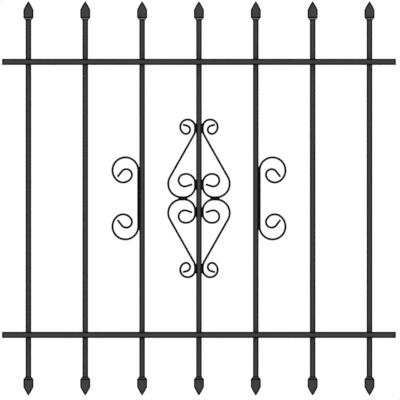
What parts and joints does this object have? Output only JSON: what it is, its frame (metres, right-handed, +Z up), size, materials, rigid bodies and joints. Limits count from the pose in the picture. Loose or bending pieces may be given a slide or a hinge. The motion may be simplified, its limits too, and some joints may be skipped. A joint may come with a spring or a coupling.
{
  "type": "window security grille",
  "caption": "Flat welded window grille: upright square bars with forged spear points, held by cross rails, with heart and C scrolls in the middle.",
  "frame": {"origin": "centre of the grille's box, on the middle bar's centreline at half height", "axes": "+X runs across the window to the right as seen from the street, -Y faces the street and carries the rails, +Z is up"},
  "size_m": [0.9, 0.0266, 0.9024],
  "materials": {
    "bar_coat": "satin charcoal powder coat on steel bar",
    "scroll_coat": "satin charcoal powder coat on bent steel strip",
    "weld_coat": "satin charcoal powder coat over weld beads"
  },
  "bodies": {
    "root": {"top_rail": "bar_coat", "bottom_rail": "bar_coat", "bar_1": "bar_coat", "bar_2": "bar_coat", "bar_3": "bar_coat", "bar_4": "bar_coat", "bar_5": "bar_coat", "bar_6": "bar_coat", "bar_7": "bar_coat", "top_spear_1": "bar_coat", "top_spear_2": "bar_coat", "top_spear_3": "bar_coat", "top_spear_4": "bar_coat", "top_spear_5": "bar_coat", "top_spear_6": "bar_coat", "top_spear_7": "bar_coat", "bottom_spear_1": "bar_coat", "bottom_spear_2": "bar_coat", "bottom_spear_3": "bar_coat", "bottom_spear_4": "bar_coat", "bottom_spear_5": "bar_coat", "bottom_spear_6": "bar_coat", "bottom_spear_7": "bar_coat", "upper_left_heart_scroll": "scroll_coat", "upper_right_heart_scroll": "scroll_coat", "lower_left_heart_scroll": "scroll_coat", "lower_right_heart_scroll": "scroll_coat", "left_side_scroll": "scroll_coat", "right_side_scroll": "scroll_coat", "top_rail_welds": "weld_coat", "bottom_rail_welds": "weld_coat", "scroll_welds": "weld_coat"}
  },
  "joints": []
}
